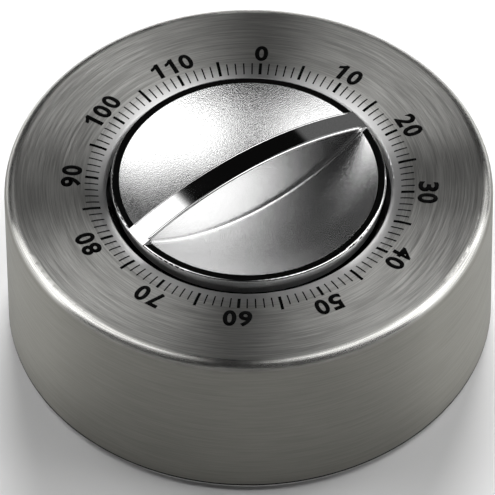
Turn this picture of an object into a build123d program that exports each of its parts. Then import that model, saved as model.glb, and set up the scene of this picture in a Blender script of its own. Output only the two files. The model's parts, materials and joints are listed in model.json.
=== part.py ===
from build123d import *
import os
from math import acos, asin, atan2, cos, degrees, hypot, radians, sin, sqrt, tan

os.makedirs("parts", exist_ok=True)

# A clockwork kitchen timer: a low steel can, a chrome knob in the middle of its top, and inside it a
# spring-driven train, a pallet escapement and a bell. Millimetres, +Z up, origin under the middle of
# the base on the surface it stands on, zero mark of the dial towards +Y.

# Case and base
case_diameter = 80.0
case_wall = 0.6
case_edge_radius = 2.0
opening_radius = 23.35
lip_radius = 0.75
lip_depth = 2.4
sink_width = 2.35
sink_slope = 15.0
sink_round = 12.0
base_inset = 0.3
base_thickness = 0.5
base_collar_height = 2.5
base_collar_wall = 0.5
base_collar_gap = 0.15
foot_height = 0.8
foot_radius = 3.5
foot_stem_radius = 1.4
foot_bulb_radius = 2.0
foot_bulb_height = 1.0
foot_inset = 10.0
sound_slot_ring_radius = 13.0
sound_slot_length = 9.0
sound_slot_width = 1.6
sound_slot_count = 12

# Knob
knob_gap = 0.8
knob_rise = 1.2
knob_edge_radius = 0.35
knob_skirt_depth = 2.6
knob_skirt_wall = 1.5
knob_wall = 1.6
rim_width = 1.4
bowl_depth = 6.0
blade_width = 4.2
blade_rise = 4.6
blade_crease_radius = 0.5
hub_radius = 4.5
hub_length = 3.0
rib_count = 8
rib_thickness = 1.0
rib_inner_radius = 12.0
clip_depth = 0.5
clip_width = 0.8
clip_opening = 60.0

# Dial: minutes in one turn, the minute that the blade points at, and the last minute of its travel
minutes_per_turn = 120.0
set_minute = 17.0
last_minute = 117.0

# Housing
housing_gap = 0.3
housing_wall = 1.8
housing_roof = 1.5
housing_foot_gap = 0.5
collar_wall = 1.2
collar_depth = 2.2
lip_gap = 0.55
boss_radius = 2.6
boss_inset = 4.1
boss_start_angle = 95.0
post_radius = 3.0
ear_start_angle = 35.0
ear_reach = 2.5
support_count = 3

# Movement frame
plate_radius = 26.5
plate_thickness = 1.0
pillar_radius = 1.75
pillar_inset = 3.0
pillar_angles = (-48.0, 125.0, 178.0, 262.0)
window_radius = 3.5
window_ring_radius = 16.5
window_angle = 312.0

# Screws
screw_radius = 1.0
screw_head_radius = 2.0
screw_head_height = 0.5
screw_reach = 6.0
pillar_screw_reach = 1.5
pillar_hole_depth = 2.0

# Fits: turning, seated and end play
running_gap = 0.05
seat_gap = 0.02
end_play = 0.1

# Main arbor, mainspring and ratchet
main_radius = 2.0
main_flat = 1.5
main_pivot_radius = 1.2
bush_wall = 1.0
bush_flange = 0.5
bush_flange_width = 1.0
spring_hub_radius = 3.0
spring_width = 3.0
spring_strip = 0.35
spring_pitch = 1.0
spring_half_turns = 11
spring_hook_radius = 1.4
spring_hook_turn = 200.0
spring_post_radius = 1.1
ratchet_teeth = 20
ratchet_tip_radius = 6.0
ratchet_root_radius = 5.2
ratchet_thickness = 1.0
click_angle = -150.0
click_nose_radius = 5.45
click_arm_radius = 7.4
click_width = 1.6
click_pivot_radius = 11.0
click_pivot_lead = 60.0
click_lead = 1.5
click_spring_gap = 0.15
click_pin_radius = 0.8
click_eye_radius = 1.8

# Train: teeth, modules and places; each wheel drives the pinion of the next arbor
wheel_thickness = 1.0
level_gap = 0.4
leaves = 10
great_teeth = 60
great_module = 0.46
second_teeth = 60
second_module = 0.37
third_teeth = 60
third_module = 0.33
second_angle = 0.0
third_ring_radius = 20.0
escape_ring_radius = 20.0
arbor_radius = 0.8
pivot_radius = 0.6
lever_eye_radius = 2.0
leaf_overlap = 0.4
crossing_count = 5
crossing_share = 0.8

# Tooth shapes: addendum and dedendum in modules, widths at root and tip as shares of the pitch
wheel_tooth = (0.9, 1.3, 0.62, 0.20)
pinion_leaf = (0.5, 1.4, 0.40, 0.34)

# Escapement
escape_teeth = 15
escape_radius = 5.0
escape_root_radius = 3.6
pallet_distance = 6.9
pallet_pin_radius = 0.35
pallet_pin_gap = 0.45
pallet_half_span = 36.0
pallet_thickness = 0.8
balance_length = 13.0
balance_width = 1.6
balance_bob_radius = 1.8

# Strike work and stop
cam_radius = 7.5
cam_notch_depth = 2.0
cam_thickness = 0.8
cam_clip_height = 0.4
cam_clip_radius = 3.4
follower_angle = 160.0
follower_gap = 0.3
follower_width = 2.0
hammer_ring_radius = 22.0
hammer_angle = 215.0
hammer_arbor_radius = 0.9
hammer_eye_radius = 2.2
hammer_arm_width = 2.4
hammer_arm_thickness = 0.8
hammer_head_radius = 2.0
hammer_head_height = 2.0
rivet_radius = 1.0
rivet_head_radius = 1.5
rivet_head_height = 0.4
hammer_strike_gap = 0.6
hammer_head_angle = 170.0
hammer_spring_strip = 0.4
hammer_spring_length = 11.0
bell_offset = (5.0, 3.0)
bell_radius = 18.0
bell_height = 5.8
bell_wall = 0.8
bell_corner_radius = 3.0
bell_floor_gap = 1.3
bell_rim_gap = 0.6
bell_post_radius = 2.2
stop_ring_radius = 18.0
stop_pin_radius = 0.65
stop_pin_height = 5.5
stop_lug_width = 1.3
stop_lug_overlap = 1.5


def at(radius, angle):
    """The point at a radius from the middle and an angle in degrees from +X."""
    return (radius * cos(radians(angle)), radius * sin(radians(angle)))


def angle_to(start, end):
    """The direction in degrees from one point to another."""
    return degrees(atan2(end[1] - start[1], end[0] - start[0]))


def toward(start, end, distance):
    """The point a distance from start on the way to end."""
    step = at(distance, angle_to(start, end))
    return (start[0] + step[0], start[1] + step[1])


def angle_between(side, other_side, far_side):
    """The angle in degrees between two sides of a triangle, facing its third side."""
    return degrees(acos((side**2 + other_side**2 - far_side**2) / (2 * side * other_side)))


def across(start, end):
    """The unit step square to the way from start to end, on its left."""
    length = hypot(end[0] - start[0], end[1] - start[1])
    return ((start[1] - end[1]) / length, (end[0] - start[0]) / length)


# Heights, stacked from the surface upwards
base_bottom = foot_height
case_bottom = base_bottom + base_thickness
bell_bottom = case_bottom + bell_floor_gap
bell_rim = bell_bottom + bell_height
low_plate_bottom = bell_rim + bell_rim_gap
low_plate_top = low_plate_bottom + plate_thickness
great_bottom = low_plate_top + bush_flange + level_gap
ratchet_bottom = great_bottom + wheel_thickness + end_play
second_bottom = ratchet_bottom + ratchet_thickness + level_gap
escape_bottom = second_bottom
pallet_bottom = escape_bottom + wheel_thickness + level_gap / 2
third_bottom = pallet_bottom + pallet_thickness + level_gap
spring_bottom = second_bottom + wheel_thickness + level_gap
spring_top = spring_bottom + spring_width
high_plate_bottom = spring_top + level_gap + bush_flange
high_plate_top = high_plate_bottom + plate_thickness
cam_bottom = high_plate_top + end_play + cam_clip_height
cam_top = cam_bottom + cam_thickness
hub_bottom = cam_top + level_gap / 2
underside = hub_bottom + hub_length
bowl_bottom = underside + knob_wall
rim_top = bowl_bottom + bowl_depth
case_top = rim_top - knob_rise
blade_top = rim_top + blade_rise
skirt_bottom = case_top - knob_skirt_depth
stop_pin_top = high_plate_top + stop_pin_height
rib_bottom = stop_pin_top + 2 * level_gap
main_top = bowl_bottom - knob_wall / 2 - end_play

# Radii in plan
case_radius = case_diameter / 2
case_inner = case_radius - case_wall
base_radius = case_radius - base_inset
knob_radius = opening_radius - knob_gap
bowl_radius = knob_radius - rim_width
skirt_inner = knob_radius - knob_skirt_wall
bowl_sphere = (bowl_radius**2 + bowl_depth**2) / (2 * bowl_depth)
crease_circle = sqrt(bowl_sphere**2 - (blade_width / 2) ** 2)
housing_outer = case_inner - housing_gap
housing_inner = housing_outer - housing_wall
housing_hole = opening_radius + case_wall + lip_gap
sink_corner = opening_radius + sink_width
sink_start = sink_corner + sink_round * tan(radians(sink_slope / 2))
sink_depth = sink_width * tan(radians(sink_slope))
sink_depth_under = (sink_width - case_wall) * tan(radians(sink_slope))
housing_sink = (sink_start - housing_hole) * tan(radians(sink_slope))
boss_ring = case_inner - boss_inset
foot_ring = case_radius - foot_inset
ear_ring = plate_radius + ear_reach
pillar_ring = plate_radius - pillar_inset
base_collar_outer = case_inner - base_collar_gap

# Places of the arbors
second_distance = (great_teeth + leaves) * great_module / 2
third_distance = (second_teeth + leaves) * second_module / 2
escape_distance = (third_teeth + leaves) * third_module / 2
second_place = at(second_distance, second_angle)
third_turn = angle_between(second_distance, third_ring_radius, third_distance)
third_place = at(third_ring_radius, second_angle + third_turn)
escape_turn = angle_between(third_ring_radius, escape_ring_radius, escape_distance)
escape_angle = second_angle + third_turn + escape_turn
escape_place = at(escape_ring_radius, escape_angle)
pallet_angle = escape_angle + angle_between(escape_ring_radius, escape_ring_radius, pallet_distance)
pallet_place = at(escape_ring_radius, pallet_angle)
hammer_place = at(hammer_ring_radius, hammer_angle)
window_place = at(window_ring_radius, window_angle)

# Directions on the dial: the blade points at the set minute, clockwise from +Y
degrees_per_minute = 360.0 / minutes_per_turn
set_turn = set_minute * degrees_per_minute
blade_angle = 90.0 - set_turn
stop_clear_angle = (360.0 - last_minute * degrees_per_minute) / 2
lug_angle = blade_angle + 180.0
stop_angle = lug_angle + set_turn + stop_clear_angle
notch_angle = follower_angle - set_turn


def turned(points, rounded=()):
    """Turn a closed outline, drawn as radius and height, about the middle; the named corners are rounded."""
    with BuildSketch(Plane.XZ) as profile:
        with BuildLine():
            Polyline(*points, close=True)
        make_face()
        for place, radius in rounded:
            fillet(profile.vertices().sort_by_distance((place[0], place[1], 0))[0], radius)
    revolve(profile.sketch, axis=Axis.Z)


def disc(height, amount, radius, places=((0.0, 0.0),), mode=Mode.ADD):
    """Round bars or holes of one size, standing on a height."""
    with BuildSketch(Plane.XY.offset(height)) as rounds:
        with Locations(*places):
            Circle(radius)
    extrude(rounds.sketch, amount=amount, mode=mode)


def toothed_outline(teeth, module, shape, first_tooth):
    """A closed outline of straight-flanked teeth about the local origin."""
    addendum, dedendum, root_share, tip_share = shape
    tip = (teeth / 2 + addendum) * module
    root = (teeth / 2 - dedendum) * module
    pitch = 360.0 / teeth
    points = []
    for tooth in range(teeth):
        middle = first_tooth + tooth * pitch
        points.append(at(root, middle - root_share * pitch / 2))
        points.append(at(tip, middle - tip_share * pitch / 2))
        points.append(at(tip, middle + tip_share * pitch / 2))
        points.append(at(root, middle + root_share * pitch / 2))
    Polyline(*points, close=True)


def toothed_disc(place, height, amount, teeth, module, shape, first_tooth):
    """A gear body standing on a height, turned so that one tooth points along first_tooth."""
    with BuildSketch(Plane.XY.offset(height).move(Location((place[0], place[1], 0)))) as gear:
        with BuildLine():
            toothed_outline(teeth, module, shape, first_tooth)
        make_face()
    extrude(gear.sketch, amount=amount)


def crossings(place, height, amount, hub, rim):
    """Round lightening holes between a wheel's hub and its rim."""
    hole = min((rim - hub) / 2, (rim + hub) / 2 * sin(radians(180.0 / crossing_count))) * crossing_share
    with BuildSketch(Plane.XY.offset(height)) as holes:
        with Locations(place):
            with PolarLocations((rim + hub) / 2, crossing_count):
                Circle(hole)
    extrude(holes.sketch, amount=amount, mode=Mode.SUBTRACT)


def bar(start, end, width):
    """A round-ended bar in plan between two points."""
    with Locations(((start[0] + end[0]) / 2, (start[1] + end[1]) / 2)):
        SlotCenterToCenter(hypot(end[0] - start[0], end[1] - start[1]), width, rotation=angle_to(start, end))


def save(piece, name):
    """Name a finished piece and write it."""
    piece.part.label = name
    export_step(piece.part, f"parts/{name}.step")


# Case shell: a drawn can with a rounded shoulder; its top sinks a little towards the lip round the knob
with BuildPart() as case_shell:
    turned(
        (
            (case_radius, case_bottom),
            (case_radius, case_top),
            (sink_corner, case_top),
            (opening_radius, case_top - sink_depth),
            (opening_radius, case_top - lip_depth),
            (opening_radius + case_wall, case_top - lip_depth),
            (opening_radius + case_wall, case_top - case_wall - sink_depth_under),
            (sink_corner, case_top - case_wall),
            (case_inner, case_top - case_wall),
            (case_inner, case_bottom),
        ),
        rounded=(
            ((case_radius, case_top), case_edge_radius),
            ((case_inner, case_top - case_wall), case_edge_radius - case_wall),
            ((sink_corner, case_top), sink_round),
            ((sink_corner, case_top - case_wall), sink_round - case_wall),
            ((opening_radius, case_top - sink_depth), lip_radius),
            ((opening_radius + case_wall, case_top - case_wall - sink_depth_under), lip_radius - case_wall),
        ),
    )
save(case_shell, "case_shell")

# Base plate: a steel disc with a collar that centres it in the can, sound slots, screw and foot holes
with BuildPart() as base_plate:
    turned(
        (
            (0, base_bottom),
            (base_radius, base_bottom),
            (base_radius, case_bottom),
            (base_collar_outer, case_bottom),
            (base_collar_outer, case_bottom + base_collar_height),
            (base_collar_outer - base_collar_wall, case_bottom + base_collar_height),
            (base_collar_outer - base_collar_wall, case_bottom),
            (0, case_bottom),
        )
    )
    with BuildSketch(Plane.XY.offset(base_bottom)):
        with PolarLocations(sound_slot_ring_radius, sound_slot_count):
            SlotOverall(sound_slot_length, sound_slot_width)
        with PolarLocations(boss_ring, support_count, start_angle=boss_start_angle):
            Circle(screw_radius + 2 * running_gap)
        with PolarLocations(foot_ring, support_count, start_angle=ear_start_angle):
            Circle(foot_stem_radius + running_gap)
    extrude(amount=base_thickness, mode=Mode.SUBTRACT)
save(base_plate, "base_plate")

# Feet: rubber buttons whose stems snap through the base
foot_places = [at(foot_ring, ear_start_angle + 360.0 / support_count * i) for i in range(support_count)]
with BuildPart() as feet:
    disc(0, foot_height, foot_radius, foot_places)
    fillet(feet.faces().group_by(Axis.Z)[0].edges(), foot_height / 2)
    disc(foot_height, base_thickness, foot_stem_radius, foot_places)
    disc(case_bottom, foot_bulb_height, foot_bulb_radius, foot_places)
    chamfer(feet.faces().group_by(Axis.Z)[-1].edges(), foot_bulb_height / 2)
save(feet, "feet")

# Base screws: flat heads under the base, shanks in the housing's bosses
boss_places = [at(boss_ring, boss_start_angle + 360.0 / support_count * i) for i in range(support_count)]
with BuildPart() as base_screws:
    disc(base_bottom - screw_head_height, screw_head_height, screw_head_radius, boss_places)
    disc(base_bottom, base_thickness + screw_reach, screw_radius, boss_places)
save(base_screws, "base_screws")

# Inner housing: a moulded cup under the can's top with a collar round the knob, bosses for the base
# screws and posts that carry the movement
roof_top = case_top - case_wall
roof_bottom = roof_top - housing_roof
housing_bottom = case_bottom + base_collar_height + housing_foot_gap
ear_places = [at(ear_ring, ear_start_angle + 360.0 / support_count * i) for i in range(support_count)]
with BuildPart() as inner_housing:
    turned(
        (
            (housing_outer, housing_bottom),
            (housing_outer, roof_top),
            (sink_start, roof_top),
            (housing_hole, roof_top - housing_sink),
            (housing_hole, roof_bottom - collar_depth),
            (housing_hole + collar_wall, roof_bottom - collar_depth),
            (housing_hole + collar_wall, roof_bottom),
            (housing_inner, roof_bottom),
            (housing_inner, housing_bottom),
        ),
        rounded=(
            ((housing_outer, roof_top), case_edge_radius - case_wall),
            ((housing_inner, roof_bottom), case_edge_radius - case_wall - housing_roof / 2),
        ),
    )
    disc(case_bottom, roof_bottom - case_bottom + housing_roof / 2, boss_radius, boss_places)
    disc(high_plate_top, roof_bottom - high_plate_top + housing_roof / 2, post_radius, ear_places)
    disc(case_bottom, screw_reach + end_play, screw_radius + seat_gap, boss_places, Mode.SUBTRACT)
    disc(high_plate_top, screw_reach + end_play, screw_radius + seat_gap, ear_places, Mode.SUBTRACT)
save(inner_housing, "inner_housing")

# Movement plates: pivot holes, pillar screw holes and a window; the upper one has ears for the posts
pillar_places = [at(pillar_ring, angle) for angle in pillar_angles]
train_places = [second_place, third_place, escape_place, pallet_place]
bush_radius_high = main_radius + running_gap + bush_wall
bush_radius_low = main_pivot_radius + running_gap + bush_wall
with BuildPart() as top_plate:
    with BuildSketch(Plane.XY.offset(high_plate_bottom)):
        Circle(plate_radius)
        for ear in ear_places:
            bar(toward(ear, (0, 0), 2 * post_radius), ear, 2 * post_radius)
    extrude(amount=plate_thickness)
    disc(high_plate_bottom, plate_thickness, pivot_radius + running_gap, train_places, Mode.SUBTRACT)
    disc(high_plate_bottom, plate_thickness, bush_radius_high + seat_gap, mode=Mode.SUBTRACT)
    disc(high_plate_bottom, plate_thickness, screw_radius + seat_gap, pillar_places, Mode.SUBTRACT)
    disc(high_plate_bottom, plate_thickness, screw_radius + running_gap, ear_places, Mode.SUBTRACT)
    disc(high_plate_bottom, plate_thickness, hammer_arbor_radius + running_gap, [hammer_place], Mode.SUBTRACT)
    disc(high_plate_bottom, plate_thickness, window_radius, [window_place], Mode.SUBTRACT)
save(top_plate, "top_plate")

with BuildPart() as bottom_plate:
    disc(low_plate_bottom, plate_thickness, plate_radius)
    disc(low_plate_bottom, plate_thickness, pivot_radius + running_gap, train_places, Mode.SUBTRACT)
    disc(low_plate_bottom, plate_thickness, bush_radius_low + seat_gap, mode=Mode.SUBTRACT)
    disc(low_plate_bottom, plate_thickness, screw_radius + seat_gap, pillar_places, Mode.SUBTRACT)
    disc(low_plate_bottom, plate_thickness, hammer_arbor_radius + running_gap, [hammer_place], Mode.SUBTRACT)
    disc(low_plate_bottom, plate_thickness, window_radius, [window_place], Mode.SUBTRACT)
    chamfer(bottom_plate.faces().sort_by(Axis.Z)[0].outer_wire().edges(), plate_thickness / 4)
save(bottom_plate, "bottom_plate")

# Pillars hold the plates apart; screws at both ends of each
with BuildPart() as pillars:
    disc(low_plate_top, high_plate_bottom - low_plate_top, pillar_radius, pillar_places)
    disc(low_plate_top, pillar_hole_depth, screw_radius + seat_gap, pillar_places, Mode.SUBTRACT)
    disc(high_plate_bottom, -pillar_hole_depth, screw_radius + seat_gap, pillar_places, Mode.SUBTRACT)
save(pillars, "pillars")

with BuildPart() as pillar_screws:
    disc(low_plate_bottom - screw_head_height, screw_head_height, screw_head_radius, pillar_places)
    disc(low_plate_bottom, plate_thickness + pillar_screw_reach, screw_radius, pillar_places)
    disc(high_plate_top, screw_head_height, screw_head_radius, pillar_places)
    disc(high_plate_top, -(plate_thickness + pillar_screw_reach), screw_radius, pillar_places)
save(pillar_screws, "pillar_screws")

with BuildPart() as movement_screws:
    disc(high_plate_bottom - screw_head_height, screw_head_height, screw_head_radius, ear_places)
    disc(high_plate_bottom, plate_thickness + screw_reach, screw_radius, ear_places)
save(movement_screws, "movement_screws")

# Flanged bushes for the main arbor
with BuildPart() as main_bush_top:
    disc(high_plate_bottom, plate_thickness, bush_radius_high)
    disc(high_plate_bottom - bush_flange, bush_flange, bush_radius_high + bush_flange_width)
    disc(high_plate_bottom - bush_flange, bush_flange + plate_thickness, main_radius + running_gap,
         mode=Mode.SUBTRACT)
save(main_bush_top, "main_bush_top")

with BuildPart() as main_bush_bottom:
    disc(low_plate_bottom, plate_thickness, bush_radius_low)
    disc(low_plate_top, bush_flange, bush_radius_low + bush_flange_width)
    disc(low_plate_bottom, plate_thickness + bush_flange, main_pivot_radius + running_gap, mode=Mode.SUBTRACT)
save(main_bush_bottom, "main_bush_bottom")

# Main arbor: pivot, shaft with the spring's hub, and a flat at the top that turns the cam and the knob
with BuildPart() as main_arbor:
    disc(low_plate_bottom + end_play, great_bottom - low_plate_bottom - end_play, main_pivot_radius)
    disc(great_bottom - level_gap + end_play, main_top - great_bottom + level_gap - end_play, main_radius)
    disc(spring_bottom, spring_top + level_gap - end_play - spring_bottom, spring_hub_radius)
    with BuildSketch(Plane.XY.offset(high_plate_top)):
        with Locations(((main_flat + main_radius) / 2, 0)):
            Rectangle(main_radius - main_flat, 2 * main_radius)
    extrude(amount=main_top - high_plate_top, mode=Mode.SUBTRACT)
    with BuildSketch(Plane.XY.offset(high_plate_top + end_play / 2)):
        Circle(main_radius)
        Circle(main_flat, mode=Mode.SUBTRACT)
    extrude(amount=cam_clip_height, mode=Mode.SUBTRACT)
save(main_arbor, "main_arbor")

# Open ring that keeps the arbor from dropping through the upper bush
with BuildPart() as arbor_clip:
    with BuildSketch(Plane.XY.offset(high_plate_top + end_play / 2 + seat_gap)):
        Circle(cam_clip_radius)
        Circle(main_flat + seat_gap, mode=Mode.SUBTRACT)
        with Locations((-cam_clip_radius / 2, 0)):
            Rectangle(cam_clip_radius, 2 * main_flat, mode=Mode.SUBTRACT)
    extrude(amount=cam_clip_height - 2 * seat_gap)
save(arbor_clip, "arbor_clip")

# Mainspring: a flat strip wound from the hub outwards in half turns, hooked round a post
spring_middle = (spring_bottom + spring_top) / 2
spring_first_radius = spring_hub_radius + seat_gap + spring_strip / 2
spring_last_radius = spring_first_radius + (spring_half_turns - 1) * spring_pitch / 2
with BuildPart() as mainspring:
    with BuildLine() as coil:
        for half in range(spring_half_turns):
            CenterArc(
                (spring_pitch / 2 * (half % 2), 0, spring_middle),
                spring_first_radius + half * spring_pitch / 2,
                180.0 * half,
                180.0,
            )
        CenterArc((-spring_last_radius - spring_hook_radius, 0, spring_middle), spring_hook_radius, 0,
                  -spring_hook_turn)
    with BuildSketch(Plane((spring_first_radius, 0, spring_middle), x_dir=(1, 0, 0), z_dir=(0, 1, 0))):
        Rectangle(spring_strip, spring_width)
    sweep(path=coil.line)
save(mainspring, "mainspring")

with BuildPart() as spring_post:
    disc(spring_bottom, high_plate_bottom - spring_bottom, spring_post_radius,
         [(-spring_last_radius - spring_hook_radius, 0)])
save(spring_post, "spring_post")

# Ratchet wheel on the arbor: saw teeth that push the click while the spring unwinds
ratchet_pitch = 360.0 / ratchet_teeth
with BuildPart() as ratchet_wheel:
    with BuildSketch(Plane.XY.offset(ratchet_bottom)):
        with BuildLine():
            saw = []
            for tooth in range(ratchet_teeth):
                face = click_angle - click_lead + tooth * ratchet_pitch
                saw.append(at(ratchet_tip_radius, face))
                saw.append(at(ratchet_root_radius, face))
            Polyline(*saw, close=True)
        make_face()
        Circle(main_radius + seat_gap, mode=Mode.SUBTRACT)
    extrude(amount=ratchet_thickness)
save(ratchet_wheel, "ratchet_wheel")

# Great wheel: runs loose on the arbor and carries the click
click_pivot = at(click_pivot_radius, click_angle + click_pivot_lead)
with BuildPart() as great_wheel:
    toothed_disc((0, 0), great_bottom, wheel_thickness, great_teeth, great_module, wheel_tooth, second_angle)
    disc(great_bottom, wheel_thickness, main_radius + running_gap, mode=Mode.SUBTRACT)
    disc(great_bottom, wheel_thickness, click_pin_radius + seat_gap, [click_pivot], Mode.SUBTRACT)
save(great_wheel, "great_wheel")

with BuildPart() as click_pin:
    disc(great_bottom, wheel_thickness + end_play + ratchet_thickness, click_pin_radius, [click_pivot])
save(click_pin, "click_pin")

# Click: an eye on the pin, an arm beside the ratchet and a nose behind one tooth
click_bottom = ratchet_bottom + seat_gap
click_thickness = ratchet_thickness - 2 * seat_gap
click_arm_end = at(click_arm_radius, click_angle + 2 * click_lead)
with BuildPart() as click:
    with BuildSketch(Plane.XY.offset(click_bottom)):
        bar(click_arm_end, click_pivot, click_width)
        with BuildLine():
            Polyline(
                at(click_nose_radius, click_angle),
                at(click_arm_radius + click_width / 2, click_angle - click_lead),
                at(click_arm_radius + click_width / 2, click_angle + 4 * click_lead),
                at(
                    (ratchet_tip_radius + click_arm_radius) / 2 - 3 * running_gap,
                    click_angle + 5 * click_lead,
                ),
                close=True,
            )
        make_face()
        with Locations(click_pivot):
            Circle(click_eye_radius)
            Circle(click_pin_radius + running_gap, mode=Mode.SUBTRACT)
    extrude(amount=click_thickness)
save(click, "click")

# Click spring: a strip that leans on the outer side of the arm, with its foot in the great wheel
click_side = across(click_pivot, click_arm_end)
click_push = click_width / 2 + click_spring_gap + spring_strip / 2
click_spring_tip = (
    click_arm_end[0] + click_push * click_side[0],
    click_arm_end[1] + click_push * click_side[1],
)
click_spring_foot = toward(click_spring_tip, (
    click_pivot[0] + (click_eye_radius + click_push) * click_side[0],
    click_pivot[1] + (click_eye_radius + click_push) * click_side[1],
), hypot(click_arm_end[0] - click_pivot[0], click_arm_end[1] - click_pivot[1]))
with BuildPart() as click_spring:
    with BuildSketch(Plane.XY.offset(great_bottom + wheel_thickness)):
        bar(click_spring_tip, click_spring_foot, spring_strip)
        with Locations(click_spring_foot):
            Circle(click_pin_radius)
    extrude(amount=ratchet_thickness)
save(click_spring, "click_spring")


def pinion_arbor(place, leaf_module, first_leaf, leaf_bottom):
    """An arbor between the plates with thin pivots and leaves cut to mesh with the wheel before it."""
    disc(low_plate_bottom + end_play, high_plate_top - low_plate_bottom - 2 * end_play, pivot_radius, [place])
    disc(low_plate_top + end_play, high_plate_bottom - low_plate_top - 2 * end_play, arbor_radius, [place])
    leaf_length = wheel_thickness + 2 * leaf_overlap
    toothed_disc(place, leaf_bottom - leaf_overlap, leaf_length, leaves, leaf_module, pinion_leaf, first_leaf)


def train_wheel(place, bottom, teeth, module, first_tooth):
    """A crossed-out wheel staked on its arbor."""
    toothed_disc(place, bottom, wheel_thickness, teeth, module, wheel_tooth, first_tooth)
    disc(bottom, wheel_thickness, arbor_radius + seat_gap, [place], Mode.SUBTRACT)
    crossings(place, bottom, wheel_thickness, 3 * arbor_radius, (teeth / 2 - 4) * module)


# Train: each pinion has a space between leaves facing the tooth of the wheel that drives it
half_leaf = 180.0 / leaves
second_in = angle_to(second_place, (0, 0))
second_out = angle_to(second_place, third_place)
third_in = angle_to(third_place, second_place)
third_out = angle_to(third_place, escape_place)
escape_in = angle_to(escape_place, third_place)

with BuildPart() as second_pinion:
    pinion_arbor(second_place, great_module, second_in + half_leaf, great_bottom)
save(second_pinion, "second_pinion")

with BuildPart() as second_wheel:
    train_wheel(second_place, second_bottom, second_teeth, second_module, second_out)
save(second_wheel, "second_wheel")

with BuildPart() as third_pinion:
    pinion_arbor(third_place, second_module, third_in + half_leaf, second_bottom)
save(third_pinion, "third_pinion")

with BuildPart() as third_wheel:
    train_wheel(third_place, third_bottom, third_teeth, third_module, third_out)
save(third_wheel, "third_wheel")

with BuildPart() as escape_pinion:
    pinion_arbor(escape_place, third_module, escape_in + half_leaf, third_bottom)
save(escape_pinion, "escape_pinion")

# Escape wheel: pointed saw teeth
escape_pitch = 360.0 / escape_teeth
with BuildPart() as escape_wheel:
    with BuildSketch(Plane.XY.offset(escape_bottom).move(Location((*escape_place, 0)))):
        with BuildLine():
            points = []
            for tooth in range(escape_teeth):
                tip_angle = tooth * escape_pitch
                points.append(at(escape_radius, tip_angle))
                points.append(at(escape_root_radius, tip_angle + escape_pitch / 6))
                points.append(at(escape_root_radius, tip_angle + escape_pitch / 2))
            Polyline(*points, close=True)
        make_face()
        Circle(arbor_radius + seat_gap, mode=Mode.SUBTRACT)
    extrude(amount=wheel_thickness)
    crossings(escape_place, escape_bottom, wheel_thickness, 2 * arbor_radius, escape_root_radius)
save(escape_wheel, "escape_wheel")

# Pallets: a lever over the escape wheel with two pins that stand just clear of its tips in mid swing
pallet_in = angle_to(escape_place, pallet_place)
pallet_pin_ring = escape_radius + pallet_pin_gap + pallet_pin_radius
pallet_pin_places = []
for side in (-1, 1):
    step = at(pallet_pin_ring, pallet_in + side * pallet_half_span)
    pallet_pin_places.append((escape_place[0] + step[0], escape_place[1] + step[1]))
with BuildPart() as pallet_arbor:
    disc(low_plate_bottom + end_play, high_plate_top - low_plate_bottom - 2 * end_play, pivot_radius,
         [pallet_place])
    disc(low_plate_top + end_play, high_plate_bottom - low_plate_top - 2 * end_play, arbor_radius,
         [pallet_place])
save(pallet_arbor, "pallet_arbor")

with BuildPart() as pallet_lever:
    with BuildSketch(Plane.XY.offset(pallet_bottom)):
        with Locations(pallet_place):
            Circle(lever_eye_radius)
        for pin_place in pallet_pin_places:
            bar(pallet_place, pin_place, 2 * arbor_radius)
        with Locations(pallet_place):
            Circle(arbor_radius + seat_gap, mode=Mode.SUBTRACT)
        with Locations(*pallet_pin_places):
            Circle(pallet_pin_radius + seat_gap, mode=Mode.SUBTRACT)
    extrude(amount=pallet_thickness)
save(pallet_lever, "pallet_lever")

with BuildPart() as pallet_pins:
    pin_length = pallet_bottom + pallet_thickness - escape_bottom
    disc(escape_bottom, pin_length, pallet_pin_radius, pallet_pin_places)
save(pallet_pins, "pallet_pins")

# Balance bar: slows the swing with a bob at each end
balance_bottom = pallet_bottom + pallet_thickness + level_gap
balance_ends = [
    toward(pallet_place, (0, 0), balance_length / 2),
    toward(pallet_place, (0, 0), -balance_length / 2),
]
with BuildPart() as balance_bar:
    with BuildSketch(Plane.XY.offset(balance_bottom)):
        bar(balance_ends[0], balance_ends[1], balance_width)
        with Locations(*balance_ends):
            Circle(balance_bob_radius)
        with Locations(pallet_place):
            Circle(lever_eye_radius)
            Circle(arbor_radius + seat_gap, mode=Mode.SUBTRACT)
    extrude(amount=pallet_thickness)
save(balance_bar, "balance_bar")

# Strike cam: a disc on the arbor's flat with one drop that faces the follower when the time is up
with BuildPart() as strike_cam:
    with BuildSketch(Plane.XY.offset(cam_bottom)):
        Circle(cam_radius)
        with BuildLine():
            Polyline(
                at(cam_radius - cam_notch_depth, notch_angle),
                at(cam_radius + cam_notch_depth, notch_angle),
                at(cam_radius + cam_notch_depth, notch_angle + escape_pitch),
                at(cam_radius, notch_angle + escape_pitch),
                close=True,
            )
        make_face(mode=Mode.SUBTRACT)
        Circle(main_radius + seat_gap, mode=Mode.SUBTRACT)
        with Locations((main_flat + seat_gap + main_radius / 2, 0)):
            Rectangle(main_radius, 2 * main_radius)
    extrude(amount=cam_thickness)
save(strike_cam, "strike_cam")

# Hammer: a vertical arbor through both plates, a follower beside the cam and an arm beside the bell
bell_hit_distance = bell_radius + hammer_strike_gap + hammer_head_radius
head_step = at(bell_hit_distance, hammer_head_angle)
head_place = (bell_offset[0] + head_step[0], bell_offset[1] + head_step[1])
arm_bottom = (bell_bottom + bell_rim) / 2
follower_tip = at(cam_radius + follower_gap + follower_width / 2, follower_angle)
with BuildPart() as hammer_arbor:
    disc(arm_bottom, cam_top - arm_bottom, hammer_arbor_radius, [hammer_place])
save(hammer_arbor, "hammer_arbor")

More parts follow.
